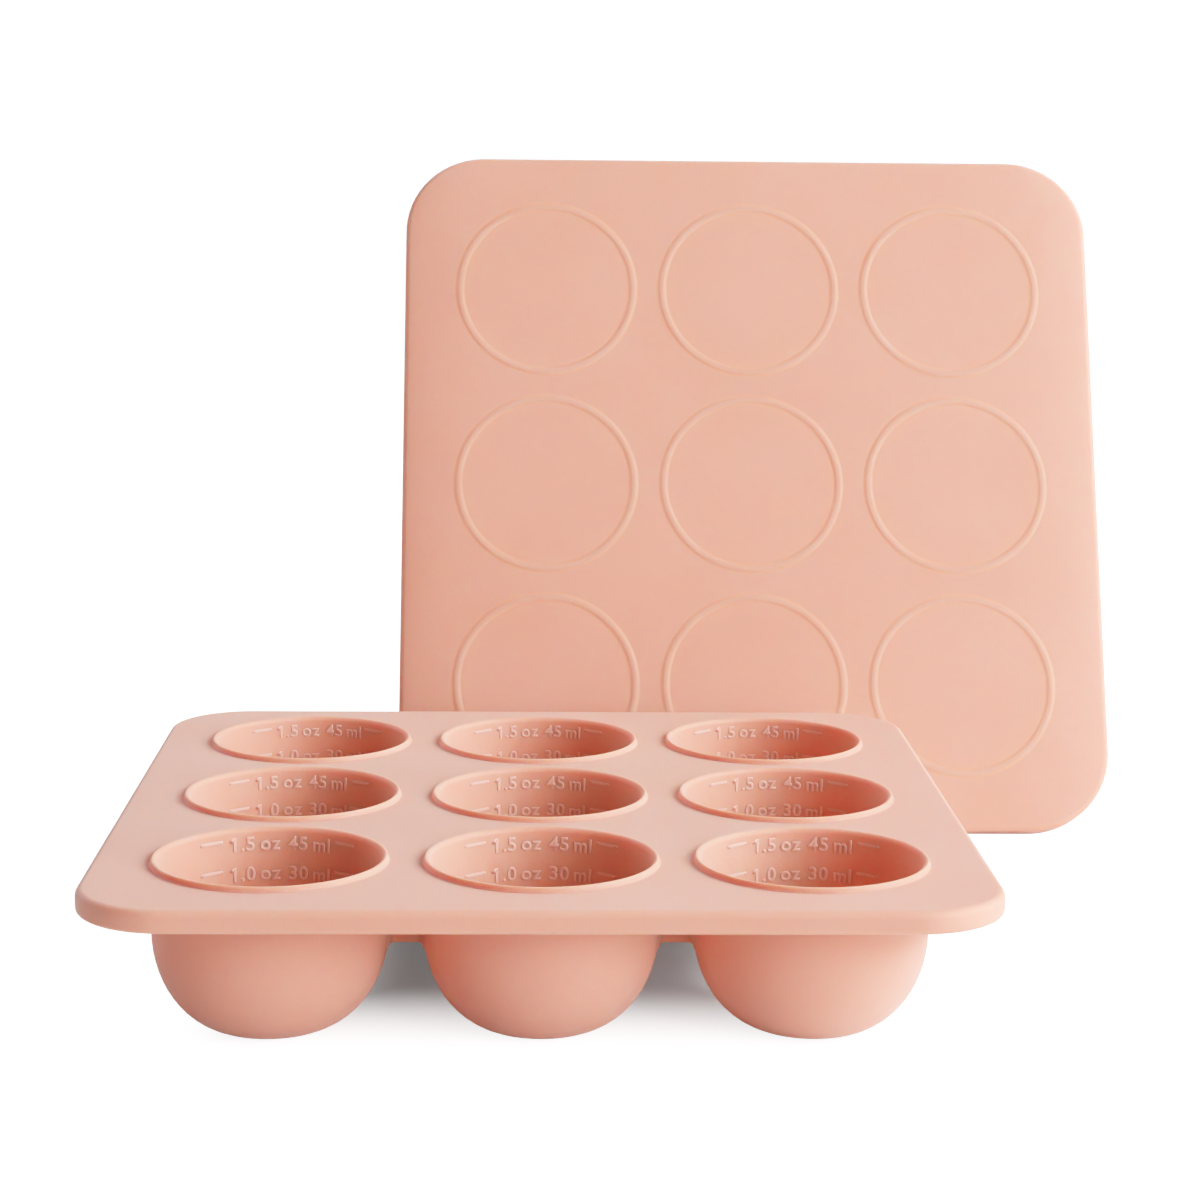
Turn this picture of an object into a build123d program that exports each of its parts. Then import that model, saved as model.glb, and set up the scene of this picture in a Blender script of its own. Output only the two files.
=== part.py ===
from build123d import *

import os
from math import cos, radians, sin, tan

# A nine-cup silicone freezer tray with its lid.
#
# The tray and the lid are two separate silicone mouldings. The tray stands on its nine cups, with the
# origin under the middle cup. The lid is off the tray: it stands behind it on its lower edge and leans back.
# Millimetres, +Z up, +X to the right and -Y towards the front.

# ---- cups ----
cups_per_side = 3
cup_pitch = 56.0  # between the axes of neighbouring cups, both ways
cup_height = 35.0  # from the foot up to the top of the deck
cup_outer_radius = 25.0  # of the cup wall, where it comes through the deck
cup_wall = 2.0
cup_floor = 2.0
cup_draft = 2.2  # degrees, of the straight upper wall
cup_straight_depth = 14.0  # from the deck down to where the bowl starts
cup_foot_radius = 7.8  # of the flat that the cup stands on
lip_height = 1.2  # of the round lip above the deck

# ---- deck, rim and webs ----
tray_side = 186.0
tray_corner_radius = 19.5
deck_thickness = 2.2
rim_depth = 4.8  # from the top of the deck down
rim_width = 3.4
rim_top_round = 1.4
rim_foot_round = 0.6
web_thickness = 2.4
web_depth = 17.2  # from the top of the deck down

# ---- lid ----
lid_clearance = 0.25  # to the rim all round, and to each lip
lid_wall = 2.0  # of the skirt that wraps the rim
lid_skin = 1.0  # over each lip
lid_ring_height = 0.4
lid_ring_margin = 0.15  # of each ring past its groove, on both sides
lid_edge_round = 1.5
lid_ring_round = 0.3
lid_lean = 23.0  # degrees back from upright
lid_aside = 58.3  # middle of the lid to the right of the tray's middle
lid_behind = 1.2  # from the rim of the tray back to the foot of the lid's face

# ---- worked out from the sizes above ----
deck_top = cup_height
deck_underside = deck_top - deck_thickness
bowl_top = deck_top - cup_straight_depth
bowl_top_radius = cup_outer_radius - cup_straight_depth * tan(radians(cup_draft))
lip_radius = cup_outer_radius - cup_wall / 2  # of the lip's crest
lip_top = deck_top + lip_height
room_top = lip_top + cup_wall  # well clear of the lip
web_length = (cups_per_side - 1) * cup_pitch  # from the first cup's axis to the last one's

groove_depth = lip_height + lid_clearance
groove_width = cup_wall + 2 * lid_clearance
lid_ring_width = groove_width + 2 * lid_ring_margin
lid_plate = groove_depth + lid_skin - lid_ring_height
lid_depth = lid_plate + rim_depth  # the skirt ends level with the foot of the rim
lid_inner_side = tray_side + 2 * lid_clearance
lid_side = lid_inner_side + 2 * lid_wall
lid_inner_corner_radius = tray_corner_radius + lid_clearance
lid_corner_radius = lid_inner_corner_radius + lid_wall

lean = radians(lid_lean)
lid_plane = Plane(
    origin=(
        lid_aside,
        tray_side / 2 + lid_behind + lid_side / 2 * sin(lean),
        lid_side / 2 * cos(lean) + lid_depth * sin(lean),
    ),
    x_dir=(1, 0, 0),
    z_dir=(0, -cos(lean), sin(lean)),
)
lid_axis = Axis(lid_plane.origin, lid_plane.z_dir)


def cup_outline(inset, floor_height, lip_start):
    """Draw half of a cup's section, from the axis at the bottom up to the crest of the lip.

    inset is taken off the outer wall, floor_height is where the bottom lies, and lip_start is the
    angle on the round of the lip where the wall meets it: 0 outside the cup and 180 inside it.
    """
    wall_top = (cup_outer_radius - inset, deck_top)
    wall_foot = (bowl_top_radius - inset, bowl_top)
    bowl_reach = bowl_top_radius - inset - cup_foot_radius
    bowl_drop = bowl_top - floor_height
    Line((0, floor_height), (cup_foot_radius, floor_height))
    EllipticalCenterArc((cup_foot_radius, bowl_top), bowl_reach, bowl_drop, start_angle=-90, arc_size=90)
    Line(wall_foot, wall_top)
    EllipticalCenterArc(
        (lip_radius, deck_top), cup_wall / 2, lip_height, start_angle=lip_start, arc_size=90 - lip_start
    )


os.makedirs("parts", exist_ok=True)

# One cup as a full body, and the room inside it: the shapes that the tray is made from.
with BuildPart() as cup_body:
    with BuildSketch(Plane.XZ):
        with BuildLine():
            cup_outline(inset=0, floor_height=0, lip_start=0)
            Polyline((lip_radius, lip_top), (0, lip_top), (0, 0))
        make_face()
    revolve(axis=Axis.Z)

with BuildPart() as cup_room:
    with BuildSketch(Plane.XZ):
        with BuildLine():
            cup_outline(inset=cup_wall, floor_height=cup_floor, lip_start=180)
            Polyline((lip_radius, lip_top), (lip_radius, room_top), (0, room_top), (0, cup_floor))
        make_face()
    revolve(axis=Axis.Z)

# The tray: a flat deck with a rim turned down all round, and nine cups that hang from it and are
# joined below the deck by thin webs on their centre lines.
with BuildPart() as tray:
    with BuildSketch(Plane.XY.offset(deck_underside)):
        RectangleRounded(tray_side, tray_side, tray_corner_radius)
    extrude(amount=deck_thickness)
    with BuildSketch(Plane.XY.offset(deck_top - rim_depth)):
        RectangleRounded(tray_side, tray_side, tray_corner_radius)
        RectangleRounded(
            tray_side - 2 * rim_width,
            tray_side - 2 * rim_width,
            tray_corner_radius - rim_width,
            mode=Mode.SUBTRACT,
        )
    extrude(amount=rim_depth)
    fillet(tray.edges().group_by(Axis.Z)[-1], rim_top_round)
    fillet(tray.edges().group_by(Axis.Z)[0], rim_foot_round)
    with BuildSketch(Plane.XY.offset(deck_top - web_depth)):
        with GridLocations(0, cup_pitch, 1, cups_per_side):
            Rectangle(web_length, web_thickness)
        with GridLocations(cup_pitch, 0, cups_per_side, 1):
            Rectangle(web_thickness, web_length)
    extrude(amount=web_depth - deck_thickness / 2)
    with GridLocations(cup_pitch, cup_pitch, cups_per_side, cups_per_side):
        add(cup_body.part)
    with GridLocations(cup_pitch, cup_pitch, cups_per_side, cups_per_side):
        add(cup_room.part, mode=Mode.SUBTRACT)

# The lid: a thin plate with a skirt that wraps the rim of the tray. Under each raised ring on its
# outer face lies a groove that takes the lip of a cup. lid_plane is the plane of the outer face.
with BuildPart() as lid:
    with BuildSketch(lid_plane.offset(-lid_depth)):
        RectangleRounded(lid_side, lid_side, lid_corner_radius)
    extrude(amount=lid_depth)
    fillet(lid.edges().group_by(lid_axis)[-1], lid_edge_round)
    with BuildSketch(lid_plane.offset(-lid_depth)):
        RectangleRounded(lid_inner_side, lid_inner_side, lid_inner_corner_radius)
    extrude(amount=lid_depth - lid_plate, mode=Mode.SUBTRACT)
    with BuildSketch(lid_plane):
        with GridLocations(cup_pitch, cup_pitch, cups_per_side, cups_per_side):
            Circle(lip_radius + lid_ring_width / 2)
            Circle(lip_radius - lid_ring_width / 2, mode=Mode.SUBTRACT)
    extrude(amount=lid_ring_height)
    fillet(lid.edges().group_by(lid_axis)[-1], lid_ring_round)
    with BuildSketch(lid_plane.offset(-lid_plate)):
        with GridLocations(cup_pitch, cup_pitch, cups_per_side, cups_per_side):
            Circle(lip_radius + groove_width / 2)
            Circle(lip_radius - groove_width / 2, mode=Mode.SUBTRACT)
    extrude(amount=groove_depth, mode=Mode.SUBTRACT)

for name, piece in (("tray", tray), ("lid", lid)):
    piece.part.label = name
    export_step(piece.part, f"parts/{name}.step")
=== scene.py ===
"""Looks of a nine-cup silicone freezer tray and its lid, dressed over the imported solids.

Everything is in metres, in the frame of the solids: +Z up, -Y towards the front, and the origin on the
table under the middle cup. The tray is one closed skin with a real wall. Its nine cups are spun as cells
of two sheets, the upper one with the lips and the lower one with the feet, and the border of the upper
sheet is led down round the rim and back up to the lower one. The lid is made in the same way, lying in
its own plane, and is then leaned back.
"""

import logging
from dataclasses import dataclass, field
from enum import Enum
from math import atan2, copysign, cos, hypot, pi, radians, sin, sqrt, tan

import bmesh
import bpy
from mathutils import Matrix, Vector


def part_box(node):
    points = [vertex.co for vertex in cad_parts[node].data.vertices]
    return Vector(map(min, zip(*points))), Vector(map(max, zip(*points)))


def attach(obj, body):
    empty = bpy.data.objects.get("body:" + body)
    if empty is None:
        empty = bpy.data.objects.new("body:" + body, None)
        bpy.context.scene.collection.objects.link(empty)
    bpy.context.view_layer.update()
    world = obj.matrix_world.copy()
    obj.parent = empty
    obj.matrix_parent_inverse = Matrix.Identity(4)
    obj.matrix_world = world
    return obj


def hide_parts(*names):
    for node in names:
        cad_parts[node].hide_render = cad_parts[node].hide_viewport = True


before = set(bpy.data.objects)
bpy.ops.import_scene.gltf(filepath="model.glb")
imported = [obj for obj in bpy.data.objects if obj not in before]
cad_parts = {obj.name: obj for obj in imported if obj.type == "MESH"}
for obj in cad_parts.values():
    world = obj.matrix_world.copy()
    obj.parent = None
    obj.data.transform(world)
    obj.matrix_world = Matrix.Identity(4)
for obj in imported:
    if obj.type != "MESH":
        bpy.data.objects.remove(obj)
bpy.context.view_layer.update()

LOG = logging.getLogger("freezer_tray")
MERGE = 1e-6  # vertices closer than this are one
SPIN_STEPS = 128  # stretches round a cup, a multiple of 8 so that corners of a cell get a vertex
FLAT_BAND = 0.001  # kept flat round each lip, ring and groove, so that their edges stay local
BEVEL_SHAPE = 0.5  # profile of a round bevel
TEXT_CAPITAL = 0.72  # height of a capital letter, as a share of the size of the text
WHOLE_CURVE = 3  # the curve of a view that works on red, green and blue alike
THIN = "thin"  # attribute of the lid's vertices: how much light comes through, from 0 to 1

Point = tuple[float, float]
Point3 = tuple[float, float, float]
Colour = tuple[float, float, float, float]


# ---- sections and outlines ----


def arc(centre: Point, reach: Point, start: float, end: float, steps: int) -> list[Point]:
    """Points of an elliptical arc in a section, without its first point.

    Args:
        centre: middle of the ellipse, as (out, up).
        reach: its half widths, as (out, up).
        start: angle where the arc starts, in degrees from straight out.
        end: angle where it ends.
        steps: number of stretches.

    Returns:
        The points in order.
    """
    turns = [radians(start + (end - start) * i / steps) for i in range(1, steps + 1)]
    return [(centre[0] + reach[0] * cos(t), centre[1] + reach[1] * sin(t)) for t in turns]


def line(start: Point, end: Point, steps: int) -> list[Point]:
    """Points of a straight stretch in a section, without its first point.

    Args:
        start: where it starts.
        end: where it ends.
        steps: number of stretches.

    Returns:
        The points in order.
    """
    shares = [i / steps for i in range(1, steps + 1)]
    return [(start[0] + (end[0] - start[0]) * s, start[1] + (end[1] - start[1]) * s) for s in shares]


def shoulder(start: Point, end: Point, steps: int) -> list[Point]:
    """Points of a soft step in a section, flat at both ends, without its first point.

    Args:
        start: where it starts.
        end: where it ends.
        steps: number of stretches.

    Returns:
        The points in order.
    """
    shares = [i / steps for i in range(1, steps + 1)]
    return [
        (start[0] + (end[0] - start[0]) * s, start[1] + (end[1] - start[1]) * (1 - cos(pi * s)) / 2)
        for s in shares
    ]


@dataclass(frozen=True)
class Outline:
    """A rounded square, as its reach out of a square core whose corners are the centres of its arcs."""

    core: float
    corner: float
    last_axis: float
    half_pitch: float

    def lead_out(self, vert: bmesh.types.BMVert, reach: float, up: float) -> None:
        """Move a vertex of the cells' square border onto the outline.

        Args:
            vert: vertex on the border.
            reach: distance of the outline from the core.
            up: height of the outline.
        """
        x, y = vert.co.xy
        beside = abs(x) >= abs(y)
        along, across = (y, x) if beside else (x, y)
        far_along, far_across = abs(along), self.core + reach
        past = far_along - self.last_axis
        if past > 0:
            straight = self.core - self.last_axis
            run = atan2(past, self.half_pitch) / (pi / 4) * (straight + self.corner * pi / 4)
            turn = max(0.0, run - straight) / self.corner
            far_along = self.last_axis + min(run, straight) + reach * sin(turn)
            far_across = self.core + reach * cos(turn)
        along, across = copysign(far_along, along), copysign(far_across, across)
        vert.co = (across, along, up) if beside else (along, across, up)

    def place(self, vert: bmesh.types.BMVert, reach: float, up: float) -> None:
        """Move a vertex that is on one such outline onto another.

        Args:
            vert: vertex to move.
            reach: distance of the new outline from the core.
            up: height of the new outline.
        """
        flat = vert.co.xy
        inner = Vector((max(-self.core, min(self.core, flat.x)), max(-self.core, min(self.core, flat.y))))
        flat = inner + (flat - inner).normalized() * reach
        vert.co = (flat.x, flat.y, up)

    def reach_of(self, point: Vector) -> float:
        """Tell how far a point lies out of the core."""
        return hypot(max(0.0, abs(point.x) - self.core), max(0.0, abs(point.y) - self.core))


# ---- mesh work that the tray and the lid share ----


def spun_cell(section: list[Point], half_pitch: float) -> bmesh.types.BMesh:
    """Spin a section into one cell of a sheet and square off its border.

    Args:
        section: points from the axis outwards, as (out, up).
        half_pitch: half side of the square cell.

    Returns:
        A new bmesh that holds the cell.
    """
    bm = bmesh.new()
    verts = [bm.verts.new((out, 0.0, up)) for out, up in section]
    edges = [bm.edges.new(pair) for pair in zip(verts, verts[1:])]
    bmesh.ops.spin(
        bm, geom=verts + edges, cent=(0, 0, 0), axis=(0, 0, 1), angle=2 * pi, steps=SPIN_STEPS, use_merge=True
    )
    bmesh.ops.remove_doubles(bm, verts=bm.verts, dist=MERGE)
    border = [edge for edge in bm.edges if edge.is_boundary]
    for vert in extruded(bm, border)[0]:
        stretch = half_pitch / max(abs(vert.co.x), abs(vert.co.y))
        vert.co = (vert.co.x * stretch, vert.co.y * stretch, vert.co.z)
    return bm


def extruded(bm: bmesh.types.BMesh, edges: list) -> tuple[list, list]:
    """Extrude edges in place.

    Args:
        bm: mesh to work on.
        edges: edges to extrude.

    Returns:
        The new vertices, and the new edges that join them.
    """
    grown = bmesh.ops.extrude_edge_only(bm, edges=edges)["geom"]
    verts = [part for part in grown if isinstance(part, bmesh.types.BMVert)]
    fresh = set(verts)
    ends = [part for part in grown if isinstance(part, bmesh.types.BMEdge) and fresh.issuperset(part.verts)]
    return verts, ends


def add_copies(bm: bmesh.types.BMesh, part: bmesh.types.BMesh, places: list[Vector]) -> None:
    """Put copies of one bmesh into another, and free the first.

    Args:
        bm: mesh that gets the copies.
        part: mesh that is copied.
        places: where each copy's origin goes.
    """
    mesh = bpy.data.meshes.new("part")
    part.to_mesh(mesh)
    part.free()
    for place in places:
        before = set(bm.verts)
        bm.from_mesh(mesh)
        bmesh.ops.translate(bm, vec=place, verts=[vert for vert in bm.verts if vert not in before])
    bpy.data.meshes.remove(mesh)


def grid_places(pitch: float) -> list[Vector]:
    """List the axes of the nine cups, row by row from the front."""
    return [Vector((column * pitch, row * pitch, 0.0)) for row in (-1, 0, 1) for column in (-1, 0, 1)]


def walled_sheet(
    upper: list[Point], lower: list[Point], rim: list[Point], outline: Outline, pitch: float
) -> bmesh.types.BMesh:
    """Make a closed skin from two sheets of nine cells and the rim that joins them.

    Args:
        upper: section of a cell of the upper sheet, from its axis outwards.
        lower: section of a cell of the lower sheet.
        rim: section of the rim, as (reach out of the core, up), from the upper sheet to the lower.
        outline: the rounded square that the rim follows.
        pitch: distance between the axes of neighbouring cells.

    Returns:
        A new closed bmesh with its faces pointing outwards.
    """
    bm = sheet_of_cells(upper, pitch)
    top_loop = lead_border_out(bm, outline, *rim[0])
    for reach, up in rim[1:]:
        verts, top_loop = extruded(bm, top_loop)
        for vert in verts:
            outline.place(vert, reach, up)
    under = sheet_of_cells(lower, pitch)
    lead_border_out(under, outline, *rim[-1])
    add_copies(bm, under, [Vector((0.0, 0.0, 0.0))])
    bmesh.ops.remove_doubles(bm, verts=bm.verts, dist=MERGE)
    bmesh.ops.recalc_face_normals(bm, faces=bm.faces)
    return bm


def sheet_of_cells(section: list[Point], pitch: float) -> bmesh.types.BMesh:
    """Join nine spun cells into a square sheet.

    Args:
        section: section of a cell, from its axis outwards.
        pitch: distance between the axes of neighbouring cells.

    Returns:
        A new bmesh with an open border.
    """
    bm = bmesh.new()
    add_copies(bm, spun_cell(section, pitch / 2), grid_places(pitch))
    bmesh.ops.remove_doubles(bm, verts=bm.verts, dist=MERGE)
    return bm


def lead_border_out(bm: bmesh.types.BMesh, outline: Outline, reach: float, up: float) -> list:
    """Extrude the square border of a sheet onto an outline.

    Args:
        bm: the sheet.
        outline: the rounded square.
        reach: distance of the outline from its core.
        up: height of the outline.

    Returns:
        The edges on the outline.
    """
    verts, loop = extruded(bm, [edge for edge in bm.edges if edge.is_boundary])
    for vert in verts:
        outline.lead_out(vert, reach, up)
    return loop


def make_piece(bm: bmesh.types.BMesh, name: str, material: bpy.types.Material, body: str) -> bpy.types.Object:
    """Turn a bmesh into a finished, smoothly shaded piece that rides on a body, and free the bmesh.

    Args:
        bm: the piece's mesh, in place.
        name: name of the piece.
        material: its finish.
        body: body that it rides on.

    Returns:
        The new object.
    """
    mesh = bpy.data.meshes.new(name)
    bm.to_mesh(mesh)
    bm.free()
    mesh.materials.append(material)
    mesh.shade_smooth()
    piece = bpy.data.objects.new(name, mesh)
    bpy.context.scene.collection.objects.link(piece)
    piece.modifiers.new("even_normals", "WEIGHTED_NORMAL").keep_sharp = True
    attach(piece, body)
    LOG.info("%s: %d faces, rides on %s", name, len(mesh.polygons), body)
    return piece


# ---- finishes ----


def new_group(name: str, inputs: dict[str, float], outputs: dict[str, str]) -> bpy.types.NodeTree:
    """Start a shader node group with named inputs and outputs.

    Args:
        name: name of the group.
        inputs: its number inputs with their default values.
        outputs: its outputs with the kind of each socket.

    Returns:
        The new group, with an input and an output node named "in" and "out".
    """
    group = bpy.data.node_groups.new(name, "ShaderNodeTree")
    for label, value in inputs.items():
        socket = group.interface.new_socket(label, in_out="INPUT", socket_type="NodeSocketFloat")
        socket.default_value = value
    for label, kind in outputs.items():
        group.interface.new_socket(label, in_out="OUTPUT", socket_type=kind)
    group.nodes.new("NodeGroupInput").name = "in"
    group.nodes.new("NodeGroupOutput").name = "out"
    return group


def add_noise(group: bpy.types.NodeTree, detail: float) -> bpy.types.Node:
    """Add a noise node that reads the place on the object, with grains of the group's Size.

    Args:
        group: node group with an input called Size, in metres.
        detail: octaves of the noise.

    Returns:
        The noise node.
    """
    place = group.nodes.new("ShaderNodeTexCoord")
    per_metre = group.nodes.new("ShaderNodeMath")
    per_metre.operation = "DIVIDE"
    per_metre.inputs[0].default_value = 1.0
    noise = group.nodes.new("ShaderNodeTexNoise")
    noise.inputs["Detail"].default_value = detail
    group.links.new(group.nodes["in"].outputs["Size"], per_metre.inputs[1])
    group.links.new(per_metre.outputs[0], noise.inputs["Scale"])
    group.links.new(place.outputs["Object"], noise.inputs["Vector"])
    return noise


def add_range(tree: bpy.types.NodeTree, low: float, high: float) -> bpy.types.Node:
    """Add a node that brings a stretch of its input to the stretch from 0 to 1.

    Args:
        tree: node tree to add it to.
        low: input that gives 0.
        high: input that gives 1.

    Returns:
        The map range node.
    """
    node = tree.nodes.new("ShaderNodeMapRange")
    node.inputs["From Min"].default_value = low
    node.inputs["From Max"].default_value = high
    return node


def mottle_group() -> bpy.types.NodeTree:
    """Make the group that tells the soft clouding of the pigment, from 0 to 1."""
    group = new_group("pigment_clouding", {"Size": 0.03}, {"Mask": "NodeSocketFloat"})
    noise = add_noise(group, detail=3.0)
    spread = add_range(group, low=0.3, high=0.7)
    group.links.new(noise.outputs["Fac"], spread.inputs["Value"])
    group.links.new(spread.outputs["Result"], group.nodes["out"].inputs["Mask"])
    return group


def grain_group() -> bpy.types.NodeTree:
    """Make the group that tells the fine matt grain that the mould leaves, as a height from 0 to 1."""
    group = new_group("mould_grain", {"Size": 0.0004}, {"Height": "NodeSocketFloat"})
    noise = add_noise(group, detail=2.0)
    group.links.new(noise.outputs["Fac"], group.nodes["out"].inputs["Height"])
    return group


def edge_group() -> bpy.types.NodeTree:
    """Make the group that tells where thin outward edges are, from 0 to 1; the finishes paint light there."""
    group = new_group("thin_edges", {}, {"Mask": "NodeSocketFloat"})
    shape = group.nodes.new("ShaderNodeNewGeometry")
    spread = add_range(group, low=0.51, high=0.58)
    group.links.new(shape.outputs["Pointiness"], spread.inputs["Value"])
    group.links.new(spread.outputs["Result"], group.nodes["out"].inputs["Mask"])
    return group


@dataclass(frozen=True)
class Silicone:
    """Matt, slightly see-through silicone with a soft powdery sheen.

    Its pigment clouds from deep to pale. Light is painted on: a lighter colour on its sharp edges, standing
    for light shining through thin silicone, and a lit colour where it is thin, at the borders of the lid's
    rings.
    """

    name: str
    deep: Colour
    pale: Colour
    # painted light: the edge colour is a lighter colour laid on sharp outward edges, standing for light
    # shining through thin silicone
    edge: Colour
    painted_edge_light_share: float = 0.6  # of the edge colour in the sharpest edges
    lit_through: Colour = (0.98, 0.42, 0.25, 1.0)
    roughness: float = 0.58
    roughness_spread: float = 0.06
    through: float = 1.0
    through_depth: float = 0.0028
    through_reach: Point3 = (1.0, 0.4, 0.22)
    sheen: float = 0.1
    sheen_roughness: float = 0.5
    bending: float = 1.42  # of light: the refractive index
    gloss: float = 0.45
    grain_height: float = 0.00002

    def material(self, groups: dict[str, bpy.types.NodeTree]) -> bpy.types.Material:
        """Build the material.

        Args:
            groups: the shared effect groups by name.

        Returns:
            The new material.
        """
        material = bpy.data.materials.new(self.name)
        material.use_nodes = True
        tree = material.node_tree
        shader = tree.nodes["Principled BSDF"]
        shader.inputs["IOR"].default_value = self.bending
        shader.inputs["Specular IOR Level"].default_value = self.gloss
        shader.inputs["Subsurface Weight"].default_value = self.through
        shader.inputs["Subsurface Radius"].default_value = self.through_reach
        shader.inputs["Subsurface Scale"].default_value = self.through_depth
        shader.inputs["Sheen Weight"].default_value = self.sheen
        shader.inputs["Sheen Roughness"].default_value = self.sheen_roughness
        clouds = self._place(tree, groups["clouds"])
        grain = self._place(tree, groups["grain"])
        edges = self._place(tree, groups["edges"])

        pigment = tree.nodes.new("ShaderNodeMix")
        pigment.data_type = "RGBA"
        pigment.inputs["A"].default_value = self.deep
        pigment.inputs["B"].default_value = self.pale
        tree.links.new(clouds.outputs["Mask"], pigment.inputs["Factor"])

        # painted light: the sharpest outward edges are mixed towards the lighter edge colour
        painted_edge_light_amount = tree.nodes.new("ShaderNodeMath")
        painted_edge_light_amount.operation = "MULTIPLY"
        painted_edge_light_amount.inputs[1].default_value = self.painted_edge_light_share
        with_painted_edge_light = tree.nodes.new("ShaderNodeMix")
        with_painted_edge_light.data_type = "RGBA"
        with_painted_edge_light.inputs["B"].default_value = self.edge
        tree.links.new(edges.outputs["Mask"], painted_edge_light_amount.inputs[0])
        tree.links.new(painted_edge_light_amount.outputs[0], with_painted_edge_light.inputs["Factor"])
        tree.links.new(pigment.outputs["Result"], with_painted_edge_light.inputs["A"])

        thin = tree.nodes.new("ShaderNodeAttribute")
        thin.attribute_name = THIN
        lit = tree.nodes.new("ShaderNodeMix")
        lit.data_type = "RGBA"
        lit.inputs["B"].default_value = self.lit_through
        tree.links.new(thin.outputs["Fac"], lit.inputs["Factor"])
        tree.links.new(with_painted_edge_light.outputs["Result"], lit.inputs["A"])
        tree.links.new(lit.outputs["Result"], shader.inputs["Base Color"])

        matt = tree.nodes.new("ShaderNodeMapRange")
        matt.inputs["To Min"].default_value = self.roughness - self.roughness_spread
        matt.inputs["To Max"].default_value = self.roughness + self.roughness_spread
        tree.links.new(clouds.outputs["Mask"], matt.inputs["Value"])
        tree.links.new(matt.outputs["Result"], shader.inputs["Roughness"])

        bump = tree.nodes.new("ShaderNodeBump")
        bump.inputs["Distance"].default_value = self.grain_height
        tree.links.new(grain.outputs["Height"], bump.inputs["Height"])
        tree.links.new(bump.outputs["Normal"], shader.inputs["Normal"])
        return material

    @staticmethod
    def _place(tree: bpy.types.NodeTree, group: bpy.types.NodeTree) -> bpy.types.Node:
        """Put a group into a tree."""
        node = tree.nodes.new("ShaderNodeGroup")
        node.node_tree = group
        return node


# the tray's and the lid's silicone; its edge colour is painted light on sharp edges
BLUSH = Silicone(
    name="blush_silicone",
    deep=(0.79, 0.385, 0.265, 1.0),
    pale=(0.81, 0.405, 0.285, 1.0),
    edge=(0.93, 0.47, 0.32, 1.0),
)
# the marks' silicone is the tray's made paler, with a paler edge colour and no light through it: painted
# light, so that the raised words and dashes read lighter than the wall
MARKS_PAINTED_LIGHTER = Silicone(
    name="mark_silicone_painted_lighter",
    deep=(0.81, 0.425, 0.315, 1.0),
    pale=(0.85, 0.465, 0.355, 1.0),
    edge=(0.88, 0.52, 0.40, 1.0),
    through=0.0,
)


# ---- the tray ----


class VolumeMark(Enum):
    """The two filling marks on the back wall of each cup: the words and how deep they sit."""

    FULL = ("1.5 oz  45 ml", 0.0025)
    PART = ("1.0 oz  30 ml", 0.0090)

    @property
    def words(self) -> str:
        """Words of the mark."""
        return self.value[0]

    @property
    def depth(self) -> float:
        """Depth of the middle of the words under the deck."""
        return self.value[1]


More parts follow.
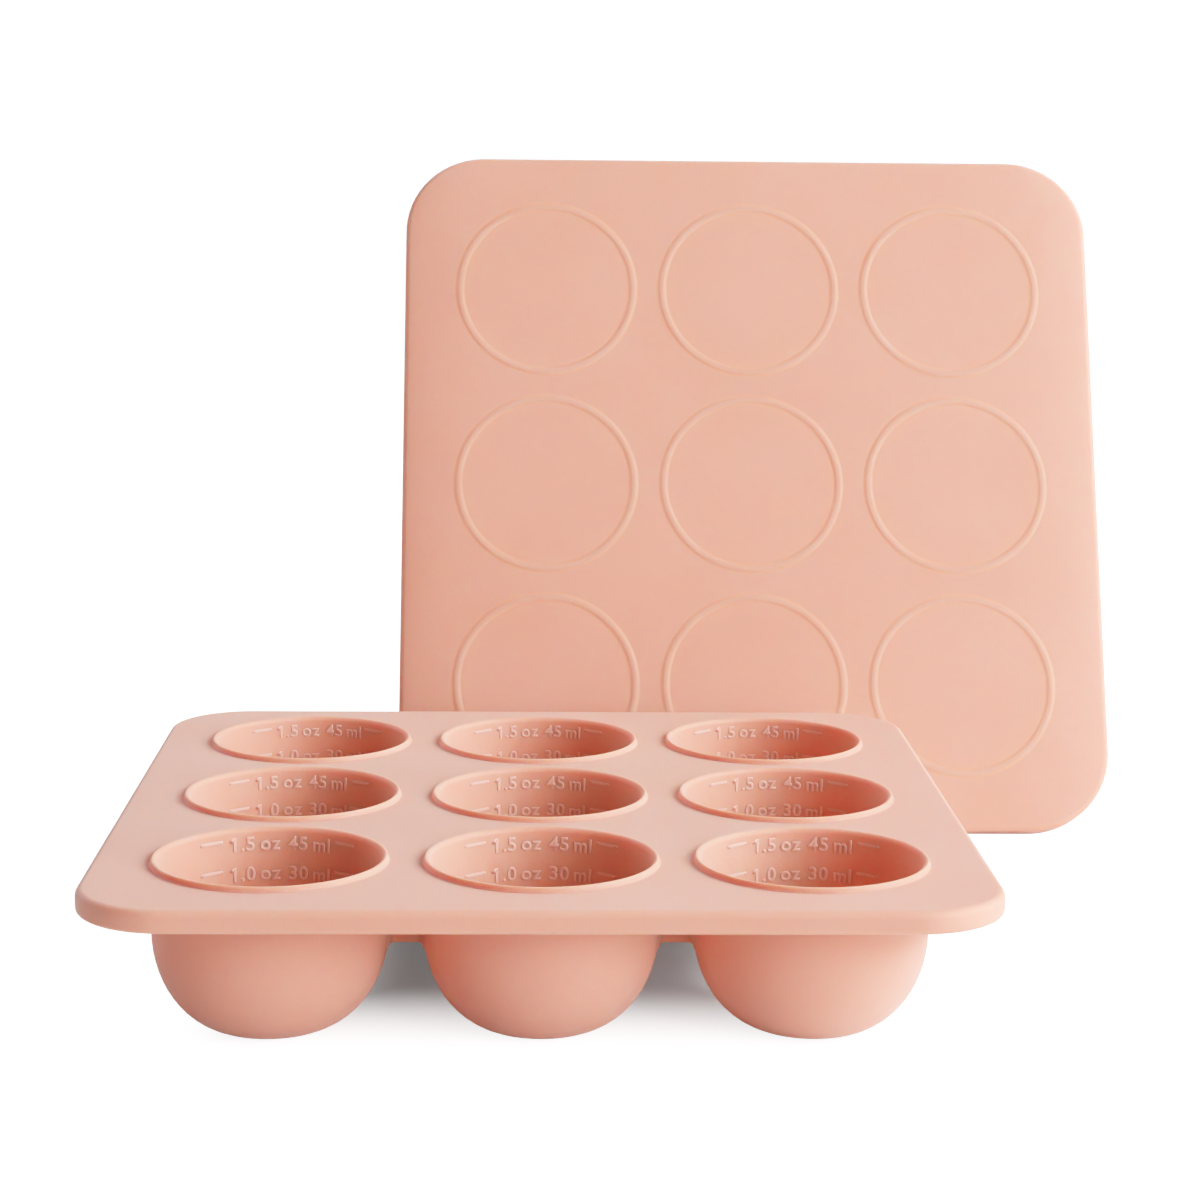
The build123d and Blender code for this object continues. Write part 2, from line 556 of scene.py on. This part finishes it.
@dataclass
class Tray:
    """The tray: deck, rim, nine cups, the webs between them and the raised volume marks."""

    pitch: float = 0.056
    height: float = 0.035
    cup_radius: float = 0.025
    wall: float = 0.002
    floor: float = 0.002
    draft: float = radians(2.2)
    straight_depth: float = 0.014
    foot_radius: float = 0.0078
    lip_height: float = 0.0012
    lip_inside: float = 0.0010
    lip_flank: float = 0.0004
    lip_foot: float = 0.0002
    side: float = 0.186
    corner_radius: float = 0.0195
    deck: float = 0.0022
    rim_depth: float = 0.0048
    rim_width: float = 0.0034
    top_round: float = 0.0016
    foot_round: float = 0.0009
    under_fillet: float = 0.0006
    web_thickness: float = 0.0024
    web_depth: float = 0.0172
    web_round: float = 0.0006
    web_flare: float = 0.0012
    web_sink: float = 0.0015  # of each end in the wall of a cup
    web_cuts: int = 23
    mark_height: float = 0.0030
    mark_proud: float = 0.00018
    mark_round: float = 0.00012
    mark_shift: float = 0.0003
    mark_slice: float = 0.001  # width of the strips that the marks bend in
    word_gap: float = 0.5  # as a share of the type's own
    letter_gap: float = 1.1  # as a share of the type's own
    flag_length: float = 0.0011
    flag_width: float = 0.00055
    flag_proud: float = 0.000162
    flag_turn: float = radians(40)
    flag_place: Point3 = (-0.0002, -0.0006, 0.0)
    dash_proud: float = 0.00008
    dash_from: float = radians(31)  # round the cup, from the middle of the back wall
    dash_to: float = radians(45)
    dash_width: float = 0.0007
    dash_end: float = 0.49  # radius of a dash's ends, as a share of its width

    @property
    def bowl_top(self) -> float:
        """Height where the bowl goes over into the straight wall."""
        return self.height - self.straight_depth

    @property
    def bowl_radius(self) -> float:
        """Outer radius of the cup at the top of the bowl."""
        return self.cup_radius - self.straight_depth * tan(self.draft)

    def outline(self) -> Outline:
        """Give the rounded square that the rim and the lid's skirt follow."""
        core = self.side / 2 - self.corner_radius
        return Outline(core, self.corner_radius, self.pitch, self.pitch / 2)

    def outer_radius(self, up: float) -> float:
        """Tell the outer radius of the cup's straight wall at a height."""
        return self.cup_radius - (self.height - up) * tan(self.draft)

    def cup_section(self, inset: float, bottom: float) -> list[Point]:
        """Draw a cup's section from the axis up to the top of the bowl.

        Args:
            inset: distance in from the outer wall.
            bottom: height of the flat bottom.

        Returns:
            The points, from the axis outwards and upwards.
        """
        reach = (self.bowl_radius - inset - self.foot_radius, self.bowl_top - bottom)
        start = (0.0, bottom)
        flat = line(start, (self.foot_radius, bottom), 3)
        return [start, *flat, *arc((self.foot_radius, self.bowl_top), reach, -90, 0, 16)]

    def upper_section(self) -> list[Point]:
        """Draw the upper sheet's section: the inside of a cup, its lip and the lip's foot on the deck."""
        section = self.cup_section(self.wall, self.floor)
        section += line(section[-1], (self.cup_radius - self.wall, self.height), 5)
        crest = self.cup_radius - self.wall + self.lip_inside
        section += arc((crest, self.height), (self.lip_inside, self.lip_height), 180, 90, 10)
        section += arc((crest, self.height), (self.lip_flank, self.lip_height), 90, 12, 6)
        section += shoulder(section[-1], (crest + self.lip_flank + self.lip_foot, self.height), 4)
        return section + line(section[-1], (section[-1][0] + FLAT_BAND, self.height), 2)

    def lower_section(self) -> list[Point]:
        """Draw the lower sheet's section: the outside of a cup and its fillet to the deck's underside."""
        section = self.cup_section(0.0, 0.0)
        top = self.height - self.deck - self.under_fillet
        section += line(section[-1], (self.outer_radius(top), top), 4)
        centre = (self.outer_radius(top) + self.under_fillet, top)
        section += arc(centre, (self.under_fillet, self.under_fillet), 180, 90, 4)
        return section + line(section[-1], (section[-1][0] + FLAT_BAND, section[-1][1]), 2)

    def rim_section(self) -> list[Point]:
        """Draw the rim's section, from the deck down round its foot and back up under the deck."""
        outer, inner = self.corner_radius, self.corner_radius - self.rim_width
        top, low, foot = self.top_round, self.foot_round, self.height - self.rim_depth
        under = self.height - self.deck
        section = [(outer - top, self.height)]
        section += arc((outer - top, self.height - top), (top, top), 90, 0, 8)
        section += [(outer, foot + low)] + arc((outer - low, foot + low), (low, low), 0, -90, 4)
        section += [(inner + low, foot)] + arc((inner + low, foot + low), (low, low), -90, -180, 4)
        section += [(inner, under - low)] + arc((inner - low, under - low), (low, low), 0, 90, 4)
        return section

    def build_moulding(self, finish: bpy.types.Material) -> bpy.types.Object:
        """Build the tray's skin, which stands for the solid of the same name.

        Args:
            finish: material of the tray.

        Returns:
            The piece.
        """
        bm = walled_sheet(
            self.upper_section(), self.lower_section(), self.rim_section(), self.outline(), self.pitch
        )
        piece = make_piece(bm, "tray_moulding", finish, "tray")
        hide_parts("tray")
        return piece

    def web(self) -> bmesh.types.BMesh:
        """Make one web between two cups along X, with its middle on the axis and its ends in their walls."""
        bm = bmesh.new()
        bmesh.ops.create_cube(bm, size=1.0)
        half = self.pitch / 2 - self.cup_radius + self.web_sink
        top, low = self.height - self.deck / 2, self.height - self.web_depth
        bmesh.ops.scale(bm, vec=(2 * half, self.web_thickness, top - low), verts=bm.verts)
        bmesh.ops.translate(bm, vec=(0, 0, (top + low) / 2), verts=bm.verts)
        keel = [edge for edge in bm.edges if all(v.co.z < (top + low) / 2 for v in edge.verts)]
        keel = [edge for edge in keel if abs(edge.verts[0].co.x - edge.verts[1].co.x) > half]
        bmesh.ops.bevel(
            bm, geom=keel, offset=self.web_round, affect="EDGES", segments=4, profile=BEVEL_SHAPE, material=-1
        )
        rungs = [edge for edge in bm.edges if abs(edge.verts[0].co.x - edge.verts[1].co.x) > half]
        bmesh.ops.subdivide_edges(bm, edges=rungs, cuts=self.web_cuts, use_grid_fill=True)
        for vert in bm.verts:
            gap = max(0.0, self.pitch / 2 - self.outer_radius(vert.co.z) - abs(vert.co.x))
            short = max(0.0, self.web_flare - gap)
            flare = self.web_flare - sqrt(self.web_flare**2 - short**2)
            vert.co.y += copysign(flare, vert.co.y)
            vert.co.z -= flare * (vert.co.z < top - MERGE)
        return bm

    def build_webs(self, finish: bpy.types.Material) -> bpy.types.Object:
        """Build the twelve webs under the deck.

        Args:
            finish: material of the tray.

        Returns:
            The piece.
        """
        bm = bmesh.new()
        half = self.pitch / 2
        for quarter in (0, 1):
            web = self.web()
            turn = Matrix.Rotation(quarter * pi / 2, 3, "Z")
            bmesh.ops.rotate(web, cent=(0, 0, 0), matrix=turn, verts=web.verts)
            spots = [(s * half, row * self.pitch) for row in (-1, 0, 1) for s in (-1, 1)]
            places = [Vector((y, x, 0) if quarter else (x, y, 0)) for x, y in spots]
            add_copies(bm, web, places)
        bmesh.ops.recalc_face_normals(bm, faces=bm.faces)
        return make_piece(bm, "tray_webs", finish, "tray")

    def words(self, mark: VolumeMark) -> bmesh.types.BMesh:
        """Make the words of a mark as a thin raised mesh, lying flat in the XY plane.

        Args:
            mark: the mark.

        Returns:
            A new bmesh, x along the words, y up them and z proud of the wall.
        """
        curve = bpy.data.curves.new("words", "FONT")
        curve.body = mark.words
        curve.align_x, curve.align_y = "CENTER", "CENTER"
        curve.size = self.mark_height / TEXT_CAPITAL
        curve.extrude = self.mark_proud - self.mark_round
        curve.bevel_depth = self.mark_round
        curve.bevel_resolution = 1
        curve.space_word, curve.space_character = self.word_gap, self.letter_gap
        curve.resolution_u = 3
        text = bpy.data.objects.new("words", curve)
        bpy.context.scene.collection.objects.link(text)
        mesh = bpy.data.meshes.new_from_object(text.evaluated_get(bpy.context.evaluated_depsgraph_get()))
        bm = bmesh.new()
        bm.from_mesh(mesh)
        bpy.data.objects.remove(text)
        bpy.data.curves.remove(curve)
        bpy.data.meshes.remove(mesh)
        bmesh.ops.remove_doubles(bm, verts=bm.verts, dist=MERGE)
        bmesh.ops.dissolve_degenerate(bm, dist=MERGE, edges=bm.edges)
        left, top = min(vert.co.x for vert in bm.verts), max(vert.co.y for vert in bm.verts)
        add_copies(bm, self.flag(), [Vector((left, top, 0))])
        return bm

    def flag(self) -> bmesh.types.BMesh:
        """Make the slanted flag of a figure 1, lying flat, placed from the top left corner of the figure."""
        bm = bmesh.new()
        bmesh.ops.create_cube(bm, size=1.0)
        bmesh.ops.scale(bm, vec=(self.flag_length, self.flag_width, 2 * self.flag_proud), verts=bm.verts)
        turn = Matrix.Rotation(self.flag_turn, 3, "Z")
        bmesh.ops.rotate(bm, cent=(0, 0, 0), matrix=turn, verts=bm.verts)
        bmesh.ops.translate(bm, vec=self.flag_place, verts=bm.verts)
        return bm

    def dash(self, side: int) -> bmesh.types.BMesh:
        """Make the dash beside a mark as a raised bar, lying flat.

        Args:
            side: -1 on the left and 1 on the right.

        Returns:
            A new bmesh.
        """
        bm = bmesh.new()
        bmesh.ops.create_cube(bm, size=1.0)
        radius = self.cup_radius - self.wall
        length = (self.dash_to - self.dash_from) * radius
        middle = (self.dash_to + self.dash_from) / 2 * radius
        bmesh.ops.scale(bm, vec=(length, self.dash_width, 2 * self.dash_proud), verts=bm.verts)
        upright = [e for e in bm.edges if abs(e.verts[0].co.z - e.verts[1].co.z) > MERGE]
        turn = self.dash_end * self.dash_width
        bmesh.ops.bevel(
            bm, geom=upright, offset=turn, affect="EDGES", segments=4, profile=BEVEL_SHAPE, material=-1
        )
        bmesh.ops.translate(bm, vec=(side * middle, 0, 0), verts=bm.verts)
        return bm

    def build_marks(self, finish: bpy.types.Material) -> bpy.types.Object:
        """Build the raised volume marks on the back walls of the nine cups.

        Args:
            finish: material of the marks.

        Returns:
            The piece.
        """
        one = bmesh.new()
        for mark in VolumeMark:
            flat = bmesh.new()
            add_copies(flat, self.words(mark), [Vector((self.mark_shift, 0, 0))])
            for side in (-1, 1):
                add_copies(flat, self.dash(side), [Vector((0, (self.mark_height - self.dash_width) / 2, 0))])
            self.bend(flat, self.height - mark.depth)
            add_copies(one, flat, [Vector((0, 0, 0))])
        bm = bmesh.new()
        add_copies(bm, one, grid_places(self.pitch))
        bmesh.ops.recalc_face_normals(bm, faces=bm.faces)
        return make_piece(bm, "volume_marks", finish, "tray")

    def bend(self, bm: bmesh.types.BMesh, up: float) -> None:
        """Slice a flat mark so that it can bend, and lay it on the back wall of a cup.

        Args:
            bm: the mark, lying flat.
            up: height of its middle.
        """
        slices = int(max(abs(vert.co.x) for vert in bm.verts) / self.mark_slice)
        for index in range(-slices, slices + 1):
            parts = [*bm.verts, *bm.edges, *bm.faces]
            cut = (index * self.mark_slice, 0, 0)
            bmesh.ops.bisect_plane(bm, geom=parts, dist=MERGE, plane_co=cut, plane_no=(1, 0, 0))
        bmesh.ops.dissolve_degenerate(bm, dist=MERGE, edges=bm.edges)
        middle = self.outer_radius(up) - self.wall
        for vert in bm.verts:
            height = up + vert.co.y
            radius = self.outer_radius(height) - self.wall - vert.co.z
            turn = vert.co.x / middle
            vert.co = (radius * sin(turn), radius * cos(turn), height)


# ---- the lid ----


@dataclass
class Lid:
    """The lid: a plate with nine raised rings and the skirt that wraps the rim of the tray."""

    tray: Tray
    clearance: float = 0.00025
    wall: float = 0.002
    skin: float = 0.001
    ring_height: float = 0.0004
    ring_show: float = 0.0002
    ring_margin: float = 0.00015
    ring_shoulder: float = 0.0012
    ring_glow: float = 0.7  # light through the borders of the rings, from 0 to 1
    glow_inset: float = 0.0003
    glow_half: float = 0.0004
    groove_round: float = 0.0003
    edge_round: float = 0.0015
    foot_round: float = 0.0004
    under_fillet: float = 0.0006
    roll_width: float = 0.018
    roll_drop: float = 0.0015
    roll_start: float = 0.33  # where the border's own outline starts, as a share of the roll's width
    lean: float = radians(23)
    aside: float = 0.0583
    behind: float = 0.0012
    plate: float = field(init=False)
    depth: float = field(init=False)
    side: float = field(init=False)

    def __post_init__(self) -> None:
        """Work out the sizes that follow from the tray's."""
        self.plate = self.tray.lip_height + self.clearance + self.skin - self.ring_height
        self.depth = self.plate + self.tray.rim_depth
        self.side = self.tray.side + 2 * (self.clearance + self.wall)

    @property
    def reach(self) -> float:
        """Radius of the lid's corners, which is its reach out of the core."""
        return self.tray.corner_radius + self.clearance + self.wall

    def upper_section(self) -> list[Point]:
        """Draw the section of the outer face, from the middle of a ring outwards."""
        crest = self.tray.cup_radius - self.tray.wall / 2
        half = self.tray.wall / 2 + self.clearance + self.ring_margin
        near, far, top = crest - half, crest + half, self.ring_show
        section = [(0.0, 0.0), *line((0.0, 0.0), (near, 0.0), 6)]
        section += shoulder((near, 0.0), (near + self.ring_shoulder, top), 8)
        section += line((near + self.ring_shoulder, top), (far - self.ring_shoulder, top), 2)
        section += shoulder((far - self.ring_shoulder, top), (far, 0.0), 8)
        return section + line(section[-1], (far + FLAT_BAND, 0.0), 2)

    def lower_section(self) -> list[Point]:
        """Draw the section of the inner face, with the groove that takes the lip of a cup."""
        crest = self.tray.cup_radius - self.tray.wall / 2
        half = self.tray.wall / 2 + self.clearance
        low = -self.plate
        high = low + self.tray.lip_height + self.clearance
        near, far, turn = crest - half, crest + half, self.groove_round
        section = [(0.0, low), *line((0.0, low), (near - turn, low), 6)]
        section += arc((near - turn, low + turn), (turn, turn), -90, 0, 3)
        section += [(near, high - turn)] + arc((near + turn, high - turn), (turn, turn), 180, 90, 3)
        section += [(far - turn, high)] + arc((far - turn, high - turn), (turn, turn), 90, 0, 3)
        section += [(far, low + turn)] + arc((far + turn, low + turn), (turn, turn), 180, 270, 3)
        return section + line(section[-1], (far + turn + FLAT_BAND, low), 2)

    def rim_section(self) -> list[Point]:
        """Draw the skirt's section, from the outer face down round its foot and up inside."""
        outer, inner, turn, low = self.reach, self.reach - self.wall, self.edge_round, self.foot_round
        foot, under, hollow = -self.depth, -self.plate, self.under_fillet
        first = outer - self.roll_start * self.roll_width
        section = [(first, 0.0), *line((first, 0.0), (outer - turn, 0.0), 6)]
        section += arc((outer - turn, -turn), (turn, turn), 90, 0, 8)
        section += [(outer, foot + low)] + arc((outer - low, foot + low), (low, low), 0, -90, 4)
        section += [(inner + low, foot)] + arc((inner + low, foot + low), (low, low), -90, -180, 4)
        section += [(inner, under - hollow)]
        section += arc((inner - hollow, under - hollow), (hollow, hollow), 0, 90, 4)
        return section

    def roll_border(self, bm: bmesh.types.BMesh, outline: Outline) -> None:
        """Let the plate fall away softly towards its border, with the foot of the skirt where it was.

        Args:
            bm: the lid's mesh, lying flat.
            outline: the outline of the skirt.
        """
        for vert in bm.verts:
            inside = self.reach - outline.reach_of(vert.co)
            share = max(0.0, 1 - inside / self.roll_width) ** 2
            vert.co.z -= self.roll_drop * share * (vert.co.z + self.depth) / self.depth

    def mark_thin(self, bm: bmesh.types.BMesh) -> None:
        """Write down where light comes through the borders of the rings, as an attribute of the vertices.

        Args:
            bm: the lid's mesh, lying flat with its outer face at zero.
        """
        layer = bm.verts.layers.float.new(THIN)
        crest, pitch = self.tray.cup_radius - self.tray.wall / 2, self.tray.pitch
        half = self.tray.wall / 2 + self.clearance + self.ring_margin - self.glow_inset
        for vert in bm.verts:
            if vert.co.z > -MERGE:
                x, y = (c - pitch * max(-1, min(1, round(c / pitch))) for c in vert.co.xy)
                past = abs(abs(hypot(x, y) - crest) - half)
                vert[layer] = self.ring_glow * max(0.0, 1 - past / self.glow_half)

    def pose(self) -> Matrix:
        """Tell where the lid stands: on its lower edge behind the tray, leaning back."""
        lean = Matrix.Rotation(pi / 2 - self.lean, 4, "X")
        low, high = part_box("lid")
        half = self.side / 2
        back = self.tray.side / 2 + self.behind + half * sin(self.lean)
        up = half * cos(self.lean) + self.depth * sin(self.lean)
        LOG.info("lid solid spans %s to %s", tuple(low), tuple(high))
        return Matrix.Translation((self.aside, back, up)) @ lean

    def build(self, finish: bpy.types.Material) -> bpy.types.Object:
        """Build the lid, which stands for the solid of the same name.

        Args:
            finish: material of the lid.

        Returns:
            The piece.
        """
        outline = self.tray.outline()
        bm = walled_sheet(
            self.upper_section(), self.lower_section(), self.rim_section(), outline, self.tray.pitch
        )
        self.mark_thin(bm)
        self.roll_border(bm, outline)
        bmesh.ops.transform(bm, matrix=self.pose(), verts=bm.verts)
        piece = make_piece(bm, "lid_moulding", finish, "lid")
        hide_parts("lid")
        return piece


# ---- the studio ----


@dataclass(frozen=True)
class Camera:
    """The camera of the shot, turned from looking along +Y."""

    place: Point3 = (-0.0049, -0.5903, 0.1806)
    down: float = radians(9.64)
    right: float = radians(1.76)
    roll: float = radians(0.56)
    lens: float = 79.95
    sensor: float = 36.0
    near: float = 0.01
    far: float = 50.0

    def build(self) -> None:
        """Build the camera and make it the scene's."""
        data = bpy.data.cameras.new("camera")
        data.lens, data.sensor_width = self.lens, self.sensor
        data.clip_start, data.clip_end = self.near, self.far
        camera = bpy.data.objects.new("camera", data)
        turn = Matrix.Rotation(-self.right, 4, "Z") @ Matrix.Rotation(pi / 2 - self.down, 4, "X")
        turn = turn @ Matrix.Rotation(self.roll, 4, "Z")
        camera.matrix_world = Matrix.Translation(self.place) @ turn
        bpy.context.scene.collection.objects.link(camera)
        bpy.context.scene.camera = camera


@dataclass(frozen=True)
class SoftBox:
    """A square soft light that the camera doesn't see."""

    name: str
    place: Point3
    aim: Point3
    side: float
    power: float
    colour: tuple[float, float, float] = (0.88, 0.90, 1.0)

    def build(self) -> None:
        """Hang the light and aim it."""
        data = bpy.data.lights.new(self.name, "AREA")
        data.shape = "SQUARE"
        data.size = self.side
        data.energy = self.power
        data.color = self.colour
        light = bpy.data.objects.new(self.name, data)
        place = Vector(self.place)
        turn = (Vector(self.aim) - place).to_track_quat("-Z", "Y").to_matrix().to_4x4()
        light.matrix_world = Matrix.Translation(place) @ turn
        light.visible_camera = False
        bpy.context.scene.collection.objects.link(light)


@dataclass(frozen=True)
class Film:
    """How the picture answers to light: a toe that deepens shadows, and a shoulder that pales highlights."""

    toe: float = 1.38
    shoulder: float = 4.55
    points: int = 12
    crowding: float = 1.5  # of the points towards the shadows

    def answer(self, light: float) -> float:
        """Tell the tone that an amount of light gives, both from 0 to 1."""
        deep = light**self.toe
        return (1 + self.shoulder) * deep / (1 + self.shoulder * deep)

    def load(self, view: bpy.types.ColorManagedViewSettings) -> None:
        """Set the curve of the view.

        Args:
            view: view settings of the scene.
        """
        view.view_transform, view.look = "Standard", "None"
        view.use_curve_mapping = True
        mapping = view.curve_mapping
        curve = mapping.curves[WHOLE_CURVE]
        for index in range(1, self.points):
            light = (index / self.points) ** self.crowding
            curve.points.new(light, self.answer(light))
        mapping.extend = "HORIZONTAL"
        mapping.update()


@dataclass(frozen=True)
class Studio:
    """A white room: its pale floor, the light that fills it and its soft boxes."""

    fill: float = 0.046
    backdrop: float = 1.25  # strength of the room as the camera sees it
    fill_colour: Colour = (0.88, 0.90, 1.0, 1.0)
    floor_half: float = 4.0
    floor_roughness: float = 0.9
    floor_colour: Colour = (0.86, 0.85, 0.85, 1.0)
    shade_glow: float = 0.078
    open_glow: float = 1.0
    shade_half: float = 0.028
    open_half: float = 0.088
    boxes: tuple[SoftBox, ...] = (
        SoftBox("front_right_box", (1.18, -1.2, 0.53), (0.03, 0.0, 0.05), 0.96, 14.0),
        SoftBox("right_box", (1.34, -0.16, 0.94), (0.03, 0.0, 0.03), 0.96, 17.3),
        SoftBox("back_left_box", (-0.9, 0.6, 0.4), (0.03, 0.0, 0.03), 0.6, 2.27),
        SoftBox("back_box", (0.0, 0.8, 0.9), (0.02, 0.05, 0.0), 0.8, 1.95),
        SoftBox("front_box", (0.1, -0.9, 0.8), (0.03, 0.0, 0.05), 0.8, 0.58),
    )

    def build(self) -> None:
        """Build the room and its lights, and load the film."""
        self._fill_room()
        self._lay_floor()
        for box in self.boxes:
            box.build()
        Film().load(bpy.context.scene.view_settings)
        LOG.info("studio: %d soft boxes", len(self.boxes))

    def _fill_room(self) -> None:
        """Fill the room with even light, and show it as plain white."""
        world = bpy.data.worlds.new("white_room")
        world.use_nodes = True
        tree = world.node_tree
        shade = tree.nodes["Background"]
        path = tree.nodes.new("ShaderNodeLightPath")
        strength = tree.nodes.new("ShaderNodeMapRange")
        strength.inputs["To Min"].default_value = self.fill
        strength.inputs["To Max"].default_value = self.backdrop
        tree.links.new(path.outputs["Is Camera Ray"], strength.inputs["Value"])
        tree.links.new(strength.outputs["Result"], shade.inputs["Strength"])
        shade.inputs["Color"].default_value = self.fill_colour
        bpy.context.scene.world = world

    def _lay_floor(self) -> None:
        """Lay the pale floor, which a painted glow shows white away from the tray's shade."""
        bm = bmesh.new()
        bmesh.ops.create_grid(bm, x_segments=8, y_segments=8, size=self.floor_half)
        mesh = bpy.data.meshes.new("floor")
        bm.to_mesh(mesh)
        bm.free()
        floor = bpy.data.objects.new("floor", mesh)
        material = bpy.data.materials.new("pale_floor")
        material.use_nodes = True
        tree = material.node_tree
        shader = tree.nodes["Principled BSDF"]
        shader.inputs["Roughness"].default_value = self.floor_roughness
        shader.inputs["Base Color"].default_value = self.floor_colour
        shader.inputs["Emission Color"].default_value = (1.0, 1.0, 1.0, 1.0)
        tree.links.new(self._glow(tree), shader.inputs["Emission Strength"])
        mesh.materials.append(material)
        bpy.context.scene.collection.objects.link(floor)

    def _glow(self, tree: bpy.types.NodeTree) -> bpy.types.NodeSocket:
        """Make the painted glow that only the camera sees, which grows outwards from the tray's shade.

        Args:
            tree: node tree of the floor.

        Returns:
            The socket that gives the glow's strength.
        """
        place = tree.nodes.new("ShaderNodeTexCoord")
        far = tree.nodes.new("ShaderNodeVectorMath")
        far.operation = "ABSOLUTE"
        split = tree.nodes.new("ShaderNodeSeparateXYZ")
        widest = tree.nodes.new("ShaderNodeMath")
        widest.operation = "MAXIMUM"
        grow = tree.nodes.new("ShaderNodeMapRange")
        grow.interpolation_type = "SMOOTHSTEP"
        grow.inputs["From Min"].default_value = self.shade_half
        grow.inputs["From Max"].default_value = self.open_half
        grow.inputs["To Min"].default_value = self.shade_glow
        grow.inputs["To Max"].default_value = self.open_glow
        path = tree.nodes.new("ShaderNodeLightPath")
        seen = tree.nodes.new("ShaderNodeMath")
        seen.operation = "MULTIPLY"
        tree.links.new(place.outputs["Object"], far.inputs[0])
        tree.links.new(far.outputs["Vector"], split.inputs["Vector"])
        tree.links.new(split.outputs["X"], widest.inputs[0])
        tree.links.new(split.outputs["Y"], widest.inputs[1])
        tree.links.new(widest.outputs[0], grow.inputs["Value"])
        tree.links.new(grow.outputs["Result"], seen.inputs[0])
        tree.links.new(path.outputs["Is Camera Ray"], seen.inputs[1])
        return seen.outputs[0]


# ---- the scene ----


def main() -> None:
    """Build the studio, the tray and the lid in order."""
    logging.basicConfig(level=logging.INFO, format="%(name)s: %(message)s")
    Camera().build()
    Studio().build()
    groups = {"clouds": mottle_group(), "grain": grain_group(), "edges": edge_group()}
    blush, marks = BLUSH.material(groups), MARKS_PAINTED_LIGHTER.material(groups)
    tray = Tray()
    tray.build_moulding(blush)
    tray.build_webs(blush)
    tray.build_marks(marks)
    Lid(tray).build(blush)


if __name__ == "__main__":
    main()
